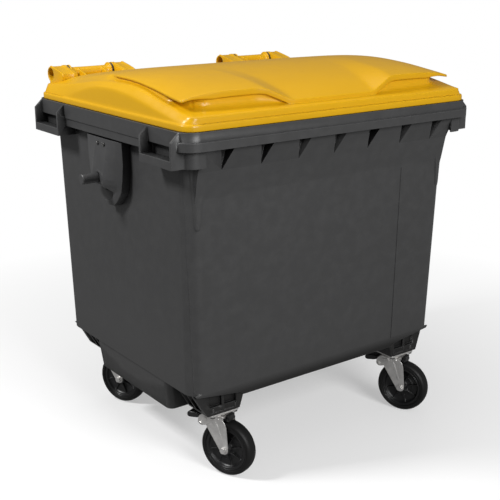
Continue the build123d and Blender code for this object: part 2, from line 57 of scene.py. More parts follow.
# ------------------------------------------------------------------ shader nodes
class Nodes:
    """Short ways to add and wire the nodes of a tree."""

    def __init__(self, tree):
        self.tree = tree

    def wire(self, socket, value):
        """Links another node's output to the socket, or sets its value. Colours are RGB."""
        if isinstance(value, bpy.types.NodeSocket):
            self.tree.links.new(value, socket)
        else:
            socket.default_value = (*value, 1.0) if socket.type == "RGBA" else value

    def node(self, kind, inputs=None, **settings):
        node = self.tree.nodes.new("ShaderNode" + kind)
        for key, value in settings.items():
            setattr(node, key, value)
        for key, value in (inputs or {}).items():
            self.wire(node.inputs[key], value)
        return node

    def math(self, operation, *values, clamp=False):
        inputs = dict(enumerate(values))
        return self.node("Math", inputs, operation=operation, use_clamp=clamp).outputs[0]

    def vector_math(self, operation, *values):
        return self.node("VectorMath", dict(enumerate(values)), operation=operation).outputs

    def ramp(self, source, over, to):
        """Maps the range `over` of the source to the range `to`, clamped."""
        return self.node("MapRange", {
            "From Min": over[0], "From Max": over[1],
            "To Min": to[0], "To Max": to[1], "Value": source}).outputs["Result"]

    def mix(self, share, first, second):
        inputs = {0: share, 6: first, 7: second}
        return self.node("Mix", inputs, data_type="RGBA").outputs[2]


class MaterialNodes(Nodes):
    """A new material with a principled shader wired to its output."""

    def __init__(self, name):
        self.material = bpy.data.materials.new(name)
        self.material.use_nodes = True
        super().__init__(self.material.node_tree)
        self.tree.nodes.clear()
        self.surface = self.node("OutputMaterial").inputs["Surface"]
        self.bsdf = self.node("BsdfPrincipled")
        self.wire(self.surface, self.bsdf.outputs["BSDF"])
        self.place = self.node("TexCoord").outputs["Object"]

    def set(self, name, value):
        """Sets or links an input of the principled shader."""
        self.wire(self.bsdf.inputs[name], value)

    def noise(self, scale, detail, roughness, stretch=None):
        node = self.node("TexNoise", {"Scale": scale, "Detail": detail, "Roughness": roughness})
        place = self.place
        if stretch:
            mapping = self.node("Mapping", {"Scale": stretch, "Vector": place})
            place = mapping.outputs["Vector"]
        self.wire(node.inputs["Vector"], place)
        return node.outputs["Fac"]

    def axes(self, vector):
        return self.node("SeparateXYZ", {0: vector}).outputs

    def edge_mask(self, radius, gain):
        """A mask, 1 near an edge and 0 on flats, and the rounded normal it comes from."""
        rounded = self.node("Bevel", {"Radius": radius}, samples=4).outputs["Normal"]
        true = self.node("NewGeometry").outputs["Normal"]
        agreement = self.vector_math("DOT_PRODUCT", rounded, true)["Value"]
        difference = self.math("SUBTRACT", 1.0, agreement)
        return self.math("MULTIPLY", difference, gain, clamp=True), rounded

    def bump(self, height, normal, strength, distance):
        return self.node("Bump", {"Strength": strength, "Distance": distance,
                                  "Height": height, "Normal": normal}).outputs["Normal"]


# ------------------------------------------------------------------ materials
def shade_of(color, factor):
    return tuple(channel * factor for channel in color)


def darken_bottom_paint_block_shade(nodes, color, mottle, bottom_darkening):
    """Darker towards the bottom in patches, and painted shade on the blocks above the casters."""
    axes = nodes.axes(nodes.place)
    fall = nodes.ramp(axes["Z"], over=bottom_darkening["height"], to=(0.55, 0.0))
    patches = nodes.ramp(mottle, over=(0.3, 0.7), to=(0.4, 1.0))
    color = nodes.mix(nodes.math("MULTIPLY", fall, patches, clamp=True), color, bottom_darkening["color"])
    # painted shade: the blocks above the casters, under the wall's lower edge, turn much darker
    beyond = nodes.math("ABSOLUTE", axes["Y"])
    blocks = nodes.math("MULTIPLY",
                        nodes.ramp(beyond, over=(0.300, 0.306), to=(0.0, 1.0)),
                        nodes.ramp(axes["Z"], over=(0.300, 0.332), to=(0.96, 0.0)))
    return nodes.mix(blocks, color, shade_of(bottom_darkening["color"], 0.3))


def paint_crevice_shade(nodes, color, dark, distance, normal, specular):
    """Painted shade in hollows and corners, found by occlusion, where the shine is also lowered.
    """
    occlusion = nodes.node("AmbientOcclusion", {"Distance": distance, "Normal": normal}, samples=5)
    openness = nodes.ramp(occlusion.outputs["AO"], over=(0.38, 0.78), to=(0.0, 1.0))
    color = nodes.mix(openness, shade_of(dark, 0.22), color)
    nodes.set("Specular IOR Level",
              nodes.ramp(openness, over=(0.0, 1.0), to=(specular * 0.25, specular)))
    return color


def paint_flank_shade(nodes, color, dark):
    """Painted shade on the faces that look along Y."""
    normal = nodes.axes(nodes.node("NewGeometry").outputs["True Normal"])
    facing = nodes.math("ABSOLUTE", normal["Y"])
    return nodes.mix(nodes.ramp(facing, over=(0.80, 0.97), to=(0.0, 0.8)),
                     color, shade_of(dark, 0.25))


def paint_pocket_shade(nodes, color, dark, pocket_shade):
    """Painted shade in an ellipse in the YZ plane, on both outer sides of the body, at the hollow
    under each trunnion.
    """
    y, z = pocket_shade["centre"]
    radius_y, radius_z = pocket_shade["radii"]
    offset = nodes.vector_math("SUBTRACT", nodes.place, (0.0, y, z))[0]
    scaled = nodes.vector_math("MULTIPLY", offset, (0.0, 1 / radius_y, 1 / radius_z))[0]
    distance = nodes.vector_math("LENGTH", scaled)["Value"]
    beyond = nodes.math("ABSOLUTE", nodes.axes(nodes.place)["X"])
    mask = nodes.math("MULTIPLY",
                      nodes.ramp(distance, over=(0.8, 1.12), to=(0.88, 0.0)),
                      nodes.ramp(beyond, over=(0.53, 0.54), to=(0.0, 1.0)))
    return nodes.mix(mask, color, shade_of(dark, 0.2))


def plastic(name, base, dark, light, roughness=0.42, grain=0.9, grain_strength=0.25, edge=0.35,
            bevel=0.0022, specular=0.5, bottom_darkening=None, crevice=None, flank_shade=False, pocket_shade=None):
    """Moulded plastic or rubber: `edge` is how far edges turn to the light colour, a painted
    highlight,
    `grain` scales the fine texture and `crevice` is the reach of the painted shade in corners."""
    nodes = MaterialNodes(name)
    broad = nodes.noise(scale=2.3, detail=4.0, roughness=0.55)
    mottle = nodes.noise(scale=26.0, detail=5.0, roughness=0.6)
    color = nodes.mix(nodes.ramp(broad, over=(0.2, 0.8), to=(0.2, 0.8)), dark, base)
    color = nodes.mix(nodes.ramp(mottle, over=(0.42, 0.75), to=(0.0, 0.07)), color, light)
    if bottom_darkening:
        color = darken_bottom_paint_block_shade(nodes, color, mottle, bottom_darkening)
    # painted highlight: the edges turn towards the light colour, broken up by noise
    edges, rounded = nodes.edge_mask(radius=bevel * 1.6, gain=5.0)
    highlight_breakup = nodes.noise(scale=60.0, detail=4.0, roughness=0.65)
    amount = nodes.ramp(highlight_breakup, over=(0.3, 0.65), to=(edge * 0.4, edge))
    color = nodes.mix(nodes.math("MULTIPLY", edges, amount, clamp=True), color, light)
    nodes.set("Specular IOR Level", specular)
    if crevice:
        # painted shade in crevices and cavities
        color = paint_crevice_shade(nodes, color, dark, crevice, rounded, specular)
    if flank_shade:
        color = paint_flank_shade(nodes, color, dark)
    if pocket_shade:
        color = paint_pocket_shade(nodes, color, dark, pocket_shade)
    nodes.set("Base Color", color)
    fine = nodes.noise(scale=950.0 * grain, detail=2.0, roughness=0.5)
    nodes.set("Roughness", nodes.math(
        "ADD", nodes.ramp(mottle, over=(0.3, 0.7), to=(roughness - 0.03, roughness + 0.03)),
        nodes.ramp(fine, over=(0.3, 0.7), to=(-0.03, 0.03))))
    # the soft wave of the moulding lies under the fine grain
    wave = nodes.noise(scale=9.0, detail=2.0, roughness=0.4)
    normal = nodes.bump(wave, rounded, strength=0.09, distance=0.004)
    nodes.set("Normal", nodes.bump(fine, normal, strength=grain_strength, distance=0.0004))
    return nodes.material


def plated_steel(name, base, dark, roughness):
    """Metal with a crystalline spangle, cloudy tone, upright streaks and a painted highlight along
    its edges.
    """
    nodes = MaterialNodes(name)
    spangle = nodes.node("TexVoronoi", {"Scale": 160.0, "Vector": nodes.place})
    cloud = nodes.noise(scale=34.0, detail=5.0, roughness=0.6)
    streak = nodes.noise(scale=120.0, detail=4.0, roughness=0.6, stretch=(1.0, 1.0, 0.12))
    color = nodes.mix(nodes.ramp(cloud, over=(0.32, 0.68), to=(0.0, 1.0)), dark, base)
    color = nodes.mix(nodes.ramp(spangle.outputs["Distance"], over=(0.0, 0.9), to=(0.0, 0.25)),
                      color, (0.68, 0.67, 0.65))
    edges, rounded = nodes.edge_mask(radius=0.0016, gain=2.0)
    # painted highlight: the edges turn to a lighter colour
    nodes.set("Base Color", nodes.mix(edges, color, (0.72, 0.71, 0.69)))
    nodes.set("Metallic", 0.78)
    nodes.set("Roughness",
              nodes.ramp(streak, over=(0.3, 0.7), to=(roughness - 0.07, roughness + 0.12)))
    nodes.set("Normal", nodes.bump(streak, rounded, strength=0.22, distance=0.0004))
    return nodes.material


GREY_PLASTIC = plastic(
    "grey_polyethylene",
    base=(0.047, 0.047, 0.0475), dark=(0.042, 0.042, 0.0425), light=(0.15, 0.15, 0.151),
    grain_strength=0.3, edge=0.75, crevice=0.075,
    # darker towards the bottom in patches, with painted shade on the blocks above the casters
    bottom_darkening={"color": (0.024, 0.023, 0.022), "height": (0.2, 0.42)},
    # painted shade in the hollow under each trunnion
    pocket_shade={"centre": (0.045, 0.935), "radii": (0.068, 0.031)})
# the bracket plastic has painted shade on its faces that look along Y and in its crevices
BRACKET_PLASTIC = plastic(
    "grey_bracket",
    base=(0.053, 0.053, 0.054), dark=(0.046, 0.046, 0.047), light=(0.16, 0.16, 0.162),
    roughness=0.38, grain_strength=0.35, edge=0.6, crevice=0.06, flank_shade=True)
YELLOW_PLASTIC = plastic(
    "yellow_polyethylene",
    base=(0.655, 0.355, 0.004), dark=(0.605, 0.325, 0.004), light=(0.80, 0.47, 0.012),
    roughness=0.32, grain_strength=0.22, edge=0.45, bevel=0.003, specular=0.36)
BLACK_PLASTIC = plastic(
    "black_plastic",
    base=(0.010, 0.010, 0.0105), dark=(0.008, 0.008, 0.008), light=(0.03, 0.03, 0.031),
    roughness=0.38, grain_strength=0.3, edge=0.5, bevel=0.0014)
RIM_PLASTIC = plastic(
    "wheel_rim_plastic",
    base=(0.007, 0.007, 0.0075), dark=(0.005, 0.005, 0.0055), light=(0.024, 0.023, 0.022),
    roughness=0.36, edge=0.5, bevel=0.0014)
TYRE_RUBBER = plastic(
    "tyre_rubber",
    base=(0.006, 0.006, 0.006), dark=(0.0045, 0.0045, 0.0045), light=(0.022, 0.021, 0.020),
    roughness=0.52, grain=0.6, grain_strength=0.5, edge=0.3, bevel=0.002, specular=0.3)
SEAL_RUBBER = plastic(
    "seal_rubber",
    base=(0.02, 0.02, 0.02), dark=(0.014, 0.014, 0.014), light=(0.04, 0.04, 0.04), roughness=0.6)
ZINC = plated_steel(
    "zinc_steel", base=(0.80, 0.785, 0.765), dark=(0.56, 0.55, 0.54), roughness=0.36)
BLACK_STEEL = plated_steel(
    "black_steel", base=(0.03, 0.03, 0.031), dark=(0.018, 0.018, 0.019), roughness=0.5)

MATERIAL_OF_SLOT = {
    "body_plastic": GREY_PLASTIC, "lid_plastic": YELLOW_PLASTIC, "pin_plastic": BLACK_PLASTIC,
    "rim_plastic": RIM_PLASTIC, "tyre": TYRE_RUBBER, "seal_rubber": SEAL_RUBBER,
    "zinc": ZINC, "dark_steel": BLACK_STEEL}
SLOT_OF_NODE = {part["node"]: part["material_slot"] for part in frame["record"]["subparts"]}


def material_of_node(name):
    if name.startswith(("trunnion_bracket", "trunnion_pin")):
        return BRACKET_PLASTIC
    if name == "caster_bolts":
        return BLACK_STEEL
    return MATERIAL_OF_SLOT[SLOT_OF_NODE[name]]


for node_name, node_object in NODES.items():
    node_object.data.materials.clear()
    node_object.data.materials.append(material_of_node(node_name))


# ------------------------------------------------------------------ objects
def shade(obj, angle):
    """Smooth shading, broken at edges sharper than the angle in degrees."""
    obj.data.shade_smooth()
    obj.data.set_sharp_from_angle(angle=math.radians(angle))


def place_mesh(name, mesh, material):
    obj = bpy.data.objects.new(name, mesh)
    SCENE.collection.objects.link(obj)
    mesh.materials.append(material)
    return obj


def new_object(name, verts, faces, material, body, slot, smooth=32.0):
    """An object from vertices in metres."""
    mesh = bpy.data.meshes.new(name)
    mesh.from_pydata([tuple(v) for v in verts], [], [tuple(f) for f in faces])
    mesh.validate()
    bm = bmesh.new()
    bm.from_mesh(mesh)
    bmesh.ops.recalc_face_normals(bm, faces=bm.faces)
    bm.to_mesh(mesh)
    bm.free()
    obj = place_mesh(name, mesh, material)
    shade(obj, smooth)
    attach(obj, body)
    return obj


def cleaned_copy(node, name, material, body, edge_width=0.0):
    """A copy of a CAD node with its vertices welded. With an edge width in metres, its
    triangles are also merged into true faces and its edges rounded."""
    bm = bmesh.new()
    bm.from_mesh(NODES[node].data)
    bmesh.ops.remove_doubles(bm, verts=bm.verts, dist=2e-5)
    if edge_width > 0:
        bmesh.ops.dissolve_limit(bm, angle_limit=math.radians(0.6), verts=bm.verts,
                                 edges=bm.edges, use_dissolve_boundaries=False)
    mesh = bpy.data.meshes.new(name)
    bm.to_mesh(mesh)
    bm.free()
    obj = place_mesh(name, mesh, material)
    if edge_width > 0:
        bevel = obj.modifiers.new("edges", "BEVEL")
        bevel.width = edge_width
        bevel.segments = 2
        bevel.limit_method = "ANGLE"
        bevel.angle_limit = math.radians(30.0)
        bevel.use_clamp_overlap = True
        bevel.harden_normals = False
        bevel.miter_outer = "MITER_ARC"
    shade(obj, 22.0)
    normals = obj.modifiers.new("normals", "WEIGHTED_NORMAL")
    normals.mode = "FACE_AREA"
    normals.weight = 70
    normals.keep_sharp = True
    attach(obj, body)
    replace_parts(obj, node)


def apply_modifiers(obj):
    bpy.context.view_layer.update()
    graph = bpy.context.evaluated_depsgraph_get()
    mesh = bpy.data.meshes.new_from_object(obj.evaluated_get(graph), depsgraph=graph)
    obj.modifiers.clear()
    obj.data = mesh


# ------------------------------------------------------------------ mesh helpers
def in_metres(points):
    return [(x * MM, y * MM, z * MM) for x, y, z in points]


def joined(parts):
    verts, faces = [], []
    for part_verts, part_faces in parts:
        start = len(verts)
        verts += part_verts
        faces += [tuple(start + i for i in face) for face in part_faces]
    return verts, faces


def bands(rings, size, wrap=False, strip=False):
    """Quads between successive rings of `size` points. `wrap` joins the last ring to the
    first; `strip` leaves each ring open between its last point and its first."""
    quads = []
    for k in range(rings if wrap else rings - 1):
        here, there = k * size, (k + 1) % rings * size
        quads += [(here + j, here + (j + 1) % size, there + (j + 1) % size, there + j)
                  for j in range(size - 1 if strip else size)]
    return quads


def end_caps(rings, size):
    return [tuple(range(size)), tuple(range((rings - 1) * size, rings * size))]


def boxes_mesh(boxes):
    """Boxes given as (x0, x1, y0, y1, z0, z1)."""
    faces = [(0, 1, 3, 2), (4, 6, 7, 5), (0, 4, 5, 1), (2, 3, 7, 6), (0, 2, 6, 4), (1, 5, 7, 3)]
    return joined([([(x, y, z) for x in (x0, x1) for y in (y0, y1) for z in (z0, z1)], faces)
                   for x0, x1, y0, y1, z0, z1 in boxes])


# ------------------------------------------------------------------ curves
def natural_spline(points):
    """The natural cubic through (position, value) points, held level beyond its ends."""
    points = sorted(points)
    xs = np.array([p[0] for p in points], float)
    values = np.array([p[1] for p in points], float)
    count = len(xs)
    gap = np.diff(xs)
    system = np.zeros((count, count))
    right = np.zeros(count)
    system[0, 0] = system[-1, -1] = 1
    for i in range(1, count - 1):
        system[i, i - 1:i + 2] = gap[i - 1], 2 * (gap[i - 1] + gap[i]), gap[i]
        right[i] = 3 * ((values[i + 1] - values[i]) / gap[i]
                        - (values[i] - values[i - 1]) / gap[i - 1])
    square = np.linalg.solve(system, right)

    def value_at(x):
        x = min(max(x, xs[0]), xs[-1])
        i = min(max(int(np.searchsorted(xs, x)) - 1, 0), count - 2)
        cube = (square[i + 1] - square[i]) / (3 * gap[i])
        slope = (values[i + 1] - values[i]) / gap[i] - gap[i] * (2 * square[i] + square[i + 1]) / 3
        t = x - xs[i]
        return values[i] + slope * t + square[i] * t * t + cube * t ** 3
    return value_at


def share(x, start, end):
    """How far x is from start to end, clamped to 0..1."""
    return min(max((x - start) / (end - start), 0.0), 1.0)


def between(x, start, end, at_start, at_end):
    return at_start + (at_end - at_start) * share(x, start, end)


def ease(x, start, end):
    t = share(x, start, end)
    return t * t * (3 - 2 * t)


def rounded_ramp(x, start, end):
    """A straight ramp from 0 to 1 with short rounded ends."""
    t = share(x, start, end)
    w = 0.16                        # share of the ramp that each rounded end takes
    if t < w:
        return t * t / (2 * w * (1 - w))
    if t > 1 - w:
        return 1 - (1 - t) ** 2 / (2 * w * (1 - w))
    return (t - w / 2) / (1 - w)


# ------------------------------------------------------------------ lid surface
LID_LO, LID_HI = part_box("lid")
LID_HALF_WIDTH = LID_HI.x * 1000.0
LID_FRONT = LID_LO.y * 1000.0
LID_BACK = 491.0
LID_BOTTOM = LID_LO.z * 1000.0
LID_THICKNESS = 4.0

# Heights along the lid as (y, z): the middle of the dome, its side edges, and the upper and
# lower lines of the flange round it.
crown_z = natural_spline([
    (491, 1283), (468, 1291), (366, 1311), (268, 1324), (173, 1336), (82, 1346), (0, 1355),
    (-91, 1361), (-160, 1361.5), (-227, 1358.5), (-300, 1352), (-352, 1345), (-392, 1337.5),
    (-430, 1328), (-480, 1313)])
edge_z = natural_spline([
    (491, 1268), (440, 1278), (302, 1299), (155, 1323), (43, 1338), (-52, 1341), (-135, 1339),
    (-209, 1333), (-298, 1323), (-354, 1315), (-404, 1309), (-480, 1299)])
upper_z = natural_spline([
    (491, 1264), (440, 1269), (350, 1277), (250, 1289), (150, 1304), (50, 1315), (-33, 1318),
    (-93, 1319), (-206, 1312), (-312, 1292), (-413, 1273), (-486, 1259), (-511, 1256)])
lower_z = natural_spline([
    (491, 1243), (340, 1243), (275, 1247), (217, 1262), (139, 1283), (64, 1298), (-6, 1303),
    (-75, 1302), (-172, 1292), (-295, 1271), (-382, 1256), (-455, 1246), (-511, 1244)])


def panel_half_width(y):
    """The raised panel flares a little towards its front corners."""
    return between(y, 60, -436, 550, 581)


def wall_half_width(y):
    """Where the recess wall stands below the panel's edge."""
    width = panel_half_width(y) - 5.0 - between(y, 60, -300, 0, 5)
    return width - 62.0 * ease(y, -318, -440)


def lip_y(x):
    """Front edge of the raised panel in plan."""
    a = abs(x)
    return between(a, 165, 300, -474, -446) + between(a, 300, 581, 0, 8)


def lip_height(x):
    return between(abs(x), 470, 545, 20.0, 9.5)


def lip_wall_y(x):
    return lip_y(x) + 12.0 + 40.0 * ease(abs(x), 470, 560)


def recess_share(y):
    """0 at the back, where the panel runs into the flange; 1 where the recess is full."""
    return ease(y, 62, -10)


DIP_DEPTH = 33.0                    # of the panel's middle, at DIP_FRONT
DIP_BACK, DIP_FRONT = -60, -450


def top_z(x, y):
    a = abs(x)
    t = min(a / panel_half_width(y), 1.0)
    z = crown_z(y) - (crown_z(y) - edge_z(y)) * (0.25 * t ** 4 + 0.75 * t ** 9)
    # the middle dips towards the front lip
    dip = 0.0
    if y < DIP_BACK:
        dip = DIP_DEPTH * share(y, DIP_BACK, DIP_FRONT) ** 1.9
        if y < DIP_FRONT:
            dip = DIP_DEPTH + (DIP_FRONT - y) * 0.12
    dip_start = between(y, -120, -450, 232, 172)
    dip_end = between(y, -120, -450, 318, 282)
    return z - dip * (1 - rounded_ramp(a, dip_start, dip_end))


def floor_z(y):
    return upper_z(y) + 5.0


# ------------------------------------------------------------------ lid grid
# The sheet is a grid inside a rectangle. Round the dome's front and sides run rings:
# 0 dome edge, 1-4 lip, 5 wall top, 6 wall foot, 7-8 recess floor.
COLUMNS, ROWS = 40, 66              # of the dome: columns of one half, rows
RINGS = 9
LAST_RING = RINGS - 1
SHEET_HALF_WIDTH, SHEET_FRONT, SHEET_BACK = 579.0, -495.0, 480.0
# For each ring, in the inner skin: how far it stands inside the wall, and in front behind it.
INNER_SIDE_INSETS = (18.0, 15.0, 13.0, 11.0, 9.0, 7.0, 3.5)
INNER_FRONT_INSETS = (18.0, 15.0, 13.0, 11.0, 9.0, 6.0, 3.5)
# For each ring, where there is no recess: inset from the panel edge, share of the way down.
FLAT_INSETS = (24.0, 19.0, 16.0, 13.0, 10.0, 7.0, 4.0)
FLAT_DROPS = (0, .01, .02, .035, .055, .085, .13, .45)
CORNER_ROUNDING = (.3, .3, .3, .3, .3, .8, .8, .6, 0.0)


def ring_x(ring, y, depth):
    """Half width of a ring at y. Depth is 0 for the outer skin."""
    recess = recess_share(y)
    edge = panel_half_width(y)
    wall = edge - 5.0 + (wall_half_width(y) - edge + 5.0) * recess
    if ring == LAST_RING:
        return SHEET_HALF_WIDTH
    if ring == 7:
        return SHEET_HALF_WIDTH * 0.4 + wall * 0.6
    if depth:
        return wall - INNER_SIDE_INSETS[ring]
    recessed = (edge - 5.0, edge - 1.2, edge, edge, edge - 0.6, wall, wall)[ring]
    return recessed * recess + (edge - FLAT_INSETS[ring]) * (1 - recess)


def ring_y(ring, x, depth):
    """Front line of a ring at x."""
    wall = lip_wall_y(x)
    if ring == LAST_RING:
        return SHEET_FRONT
    if ring == 7:
        return SHEET_FRONT * 0.4 + wall * 0.6
    if depth:
        return wall + INNER_FRONT_INSETS[ring]
    lip = lip_y(x)
    return (lip + 5.0, lip + 1.2, lip, lip + 0.4, lip + 1.2, wall, wall - 1.5)[ring]


def ring_z(ring, x, y, depth, front):
    recess = recess_share(y)
    top = top_z(min(x, panel_half_width(y)), max(y, lip_y(x)))
    height = lip_height(x) if front else between(y, -300, -420, 8.0, 9.5)
    floor = floor_z(y)
    if depth:
        z = (top, top - 0.3, top - 0.8, top - 1.6, top - 3.0, top - 6.0,
             floor + 1.0, floor, floor)[ring]
    else:
        z = (top, top - 0.5, top - 2.0, top - height + min(2.0, height * .3), top - height,
             max(top - height + 1.2, floor + 2.0), floor + 0.5, floor, floor - 0.5)[ring]
    if recess < 1:
        flange = upper_z(y)
        if ring == LAST_RING:
            flat = flange + 3.0
        else:
            flat = top * (1 - FLAT_DROPS[ring]) + flange * FLAT_DROPS[ring]
        z = z * recess + flat * (1 - recess)
    if y > 440:                     # settle on the back edge
        settled = ease(y, 440, SHEET_BACK)
        z = z * (1 - settled) + settled * between(
            x, 420, SHEET_HALF_WIDTH, crown_z(SHEET_BACK) - 1, upper_z(SHEET_BACK) + 4)
    return z - depth


def squeeze(t, free, limit):
    """Keeps t*free up to 70 percent of the way, then runs to limit."""
    if t <= 0.7:
        return t * free
    return 0.7 * free + (limit - 0.7 * free) * (t - 0.7) / 0.3


def bend(start, corner, end, t, rounding):
    """One coordinate on the way round a corner: t is 0 at start, 1 at corner, 2 at end."""
    if t <= 1:
        straight = start + (corner - start) * t
    else:
        straight = corner + (end - corner) * (t - 1)
    u = t / 2
    curve = (1 - u) ** 2 * start + 2 * u * (1 - u) * corner + u * u * end
    return straight + (curve - straight) * rounding


def column_x(column, y, depth):
    if column <= COLUMNS:
        return ring_x(0, y, depth) * column / COLUMNS
    return ring_x(column - COLUMNS, y, depth)


def half_sheet(depth):
    """Points of the +X half by (row, column), from the front ring to the back edge.
    Each place depends on both coordinates, so it is found by repetition."""
    points = {}
    for r in range(1, ROWS + 1):
        for c in range(COLUMNS + RINGS):
            ring = max(0, c - COLUMNS)
            y = 0.0
            for _ in range(6):
                x = column_x(c, y, depth)
                start = ring_y(0, x if c <= COLUMNS else ring_x(0, y, depth), depth)
                ring_start = start if ring == 0 else ring_y(ring, x, depth) + 3.0 + ring
                y = SHEET_BACK - squeeze(1 - r / ROWS, SHEET_BACK - start,
                                         SHEET_BACK - ring_start)
            x = column_x(c, y, depth)
            points[(r + LAST_RING, c)] = (x, y, ring_z(ring, x, y, depth, False))
    for ring in range(RINGS):
        row = LAST_RING - ring
        for c in range(COLUMNS):
            y = ring_y(ring, 0, depth)
            for _ in range(6):
                edge = ring_x(0, y, depth)
                limit = ring_x(ring, y, depth) - 3.0 - ring if ring else edge
                x = squeeze(c / COLUMNS, edge, limit)
                y = ring_y(ring, x, depth)
            points[(row, c)] = (x, y, ring_z(ring, x, y, depth, True))
        front_x, front_y = points[(row, COLUMNS - 1)][:2]
        side_x, side_y = points[(RINGS, COLUMNS + ring)][:2]
        corner_y = front_y
        for _ in range(8):
            corner_x = ring_x(ring, corner_y, depth)
            corner_y = ring_y(ring, corner_x, depth)

        def corner_point(t):
            x = bend(front_x, corner_x, side_x, t, CORNER_ROUNDING[ring])
            y = bend(front_y, corner_y, side_y, t, CORNER_ROUNDING[ring])
            return x, y, ring_z(ring, x, y, depth, True)

        for j in range(ring + 1):   # along the front up to the corner
            points[(row, COLUMNS + j)] = corner_point((j + 1) / (ring + 1))
        for j in range(ring):       # and down the side
            points[(LAST_RING - j, COLUMNS + ring)] = corner_point(2 - (j + 1) / (ring + 1))
    return points


def sheet_rows(depth):
    """The rows of the whole sheet, from -X to +X."""
    half = half_sheet(depth)
    rows = []
    for r in range(ROWS + RINGS):
        row = [half[(r, c)] for c in range(COLUMNS + RINGS)]
        rows.append([(-x, y, z) for x, y, z in reversed(row[1:])] + row)
    return rows


# ------------------------------------------------------------------ lid skirt
# Rounded rectangles from the sheet down to the lower edge: half width, front, back, corner
# radius, share of the thickness the inner skin is inset, share it is lowered, height at y.
SKIRT = (
    (582.0, -498.0, 482.0, 14.0, 0.7, 1.0, lambda y: upper_z(y) + 2.6),
    (585.5, -499.8, 483.4, 22.0, 1.0, 1.0, lambda y: upper_z(y) + 0.4),
    (588.0, -500.8, 484.4, 28.0, 1.0, 0.6, lambda y: upper_z(y) - 3.0),
    (594.0, -501.4, 485.0, 34.0, 1.0, 0.4, lambda y: upper_z(y) * .56 + lower_z(y) * .44),
    (600.5, -501.9, 485.4, 40.0, 1.0, 0.2, lambda y: lower_z(y) * .88 + upper_z(y) * .12),
    (602.2, -502.1, 485.6, 41.0, 1.0, 0.0, lambda y: lower_z(y) - 2.0),
    (603.2, -502.5, 486.0, 42.0, 1.0, 0.0,
     lambda y: min(lower_z(y) - 5.0, 1246.0) * .4 + 1242.5 * .6),
    (604.4, -503.6, 487.0, 43.0, 1.0, 0.0, lambda y: 1241.2),
    (608.2, -508.6, 489.6, 46.0, 1.0, 0.0, lambda y: 1239.6),
    (LID_HALF_WIDTH, LID_FRONT, LID_BACK, 48.0, 1.0, 0.0, lambda y: 1237.6),
    (LID_HALF_WIDTH, LID_FRONT, LID_BACK, 48.0, 1.0, 0.0, lambda y: 1228.0),
    (LID_HALF_WIDTH, LID_FRONT, LID_BACK, 48.0, 1.0, 0.0, lambda y: LID_BOTTOM + 1.0),
    (LID_HALF_WIDTH - .8, LID_FRONT + .8, LID_BACK - .8, 47.5, 0.7, 0.0, lambda y: LID_BOTTOM),
)


def round_corner(x, y, half_width, front, back, radius):
    """Moves a point of a rectangle's outline on to the rounded rectangle's outline."""
    centre_y = min(max(y, front + radius), back - radius)
    centre_x = min(max(x, -half_width + radius), half_width - radius)
    dx, dy = x - centre_x, y - centre_y
    if abs(dx) > 1e-9 and abs(dy) > 1e-9:
        length = math.hypot(dx, dy)
        return centre_x + dx * radius / length, centre_y + dy * radius / length
    return x, y


def skirt_point(x, y, half_width, front, back, radius):
    """Carries a point of the sheet's outline out to a ring of the skirt."""
    out_x = x * half_width / SHEET_HALF_WIDTH
    out_y = front + (y - SHEET_FRONT) * (back - front) / (SHEET_BACK - SHEET_FRONT)
    if abs(abs(x) - SHEET_HALF_WIDTH) < 1e-6:
        out_x = math.copysign(half_width, x)
    if abs(y - SHEET_FRONT) < 1e-6 or abs(y - SHEET_BACK) < 1e-6:
        out_y = front if y < 0 else back
    return round_corner(out_x, out_y, half_width, front, back, radius)


def lid_mesh():
    """Outer and inner skins, joined along the lower edge."""
    verts, faces, hems = [], [], []
    for depth in (0.0, LID_THICKNESS):
        rows = sheet_rows(depth)
        height, width = len(rows), len(rows[0])
        base = len(verts)
        for row in rows:
            verts.extend(row)

        def index(r, c):
            return base + r * width + c

        def add_face(*corners):
            faces.append(corners if depth == 0 else corners[::-1])

        for r in range(height - 1):
            for c in range(width - 1):
                add_face(index(r, c), index(r, c + 1), index(r + 1, c + 1), index(r + 1, c))
        # outline of the grid, counter-clockwise from the front corner at -X
        outline = [index(0, c) for c in range(width)]
        outline += [index(r, width - 1) for r in range(1, height)]
        outline += [index(height - 1, c) for c in range(width - 2, -1, -1)]
        outline += [index(r, 0) for r in range(height - 2, 0, -1)]
        count = len(outline)
        previous = outline
        for half_width, front, back, radius, inset, drop, height_at in SKIRT:
            step = depth * inset
            ring = []
            for v in outline:
                x, y = skirt_point(*verts[v][:2], half_width - step, front + step,
                                   back - step, radius)
                ring.append(len(verts))
                verts.append((x, y, height_at(y) - depth * drop))
            for k in range(count):
                after = (k + 1) % count
                add_face(previous[k], ring[k], ring[after], previous[after])
            previous = ring
        hems.append(previous)
    outer, inner = hems
    for k in range(count):
        after = (k + 1) % count
        faces.append((outer[k], inner[k], inner[after], outer[after]))
    return in_metres(verts), faces


# Two hinge groups, each as (start, end) in x: arm, lug, bar, lug, arm.
HINGE_GROUPS = (
    ((-554.0, -493.5), (-491.0, -483.0), (-480.5, -311.5), (-309.0, -301.0), (-298.5, -246.0)),
    ((216.0, 281.5), (284.0, 292.0), (294.5, 455.0), (457.5, 465.5), (468.0, 520.0)))
NOTCH_GAP = 2.5                     # each side of a lug


